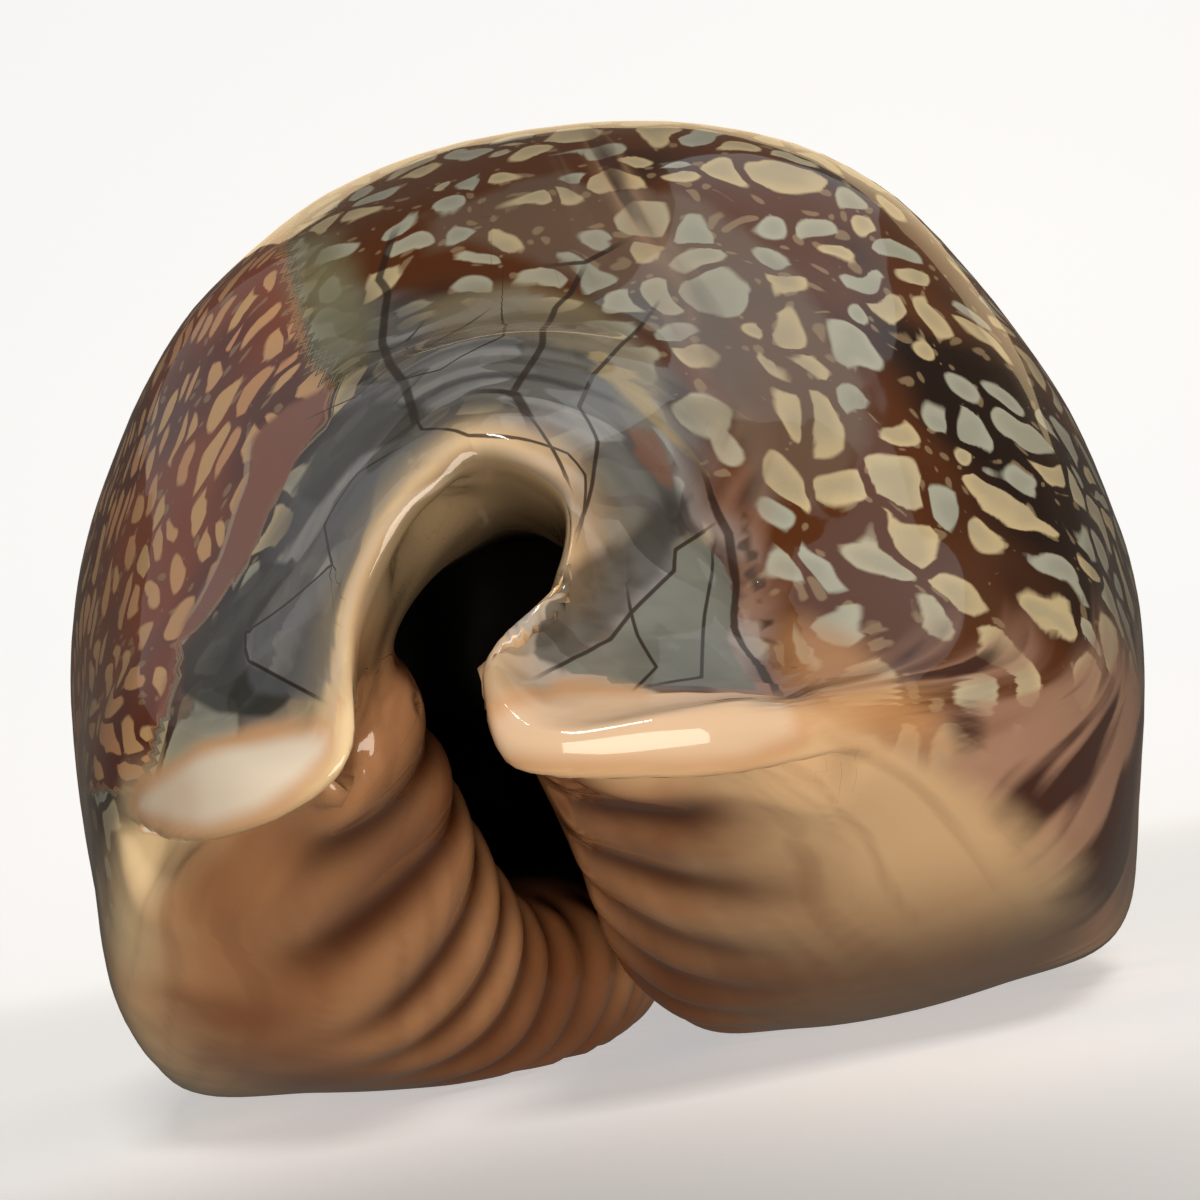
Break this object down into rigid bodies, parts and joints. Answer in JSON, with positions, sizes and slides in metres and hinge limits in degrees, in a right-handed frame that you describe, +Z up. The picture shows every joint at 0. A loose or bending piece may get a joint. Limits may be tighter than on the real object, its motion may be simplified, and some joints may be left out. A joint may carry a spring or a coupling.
{
  "type": "arabian cowrie shell",
  "caption": "Glossy humped sea shell with a flat toothed base, a long narrow slot and a deep flanged notch at its rear end.",
  "frame": {"origin": "centre of the shell's footprint, on the surface that its base rests on", "axes": "+Z up through the crown, -Y towards the notched rear end, +X towards the outer lip's side"},
  "size_m": [0.0447, 0.0684, 0.0394],
  "materials": {
    "enamel": "glossy natural shell enamel, dark brown net over pale spots, cream and tan base"
  },
  "bodies": {
    "root": {"shell": "enamel"}
  },
  "joints": []
}
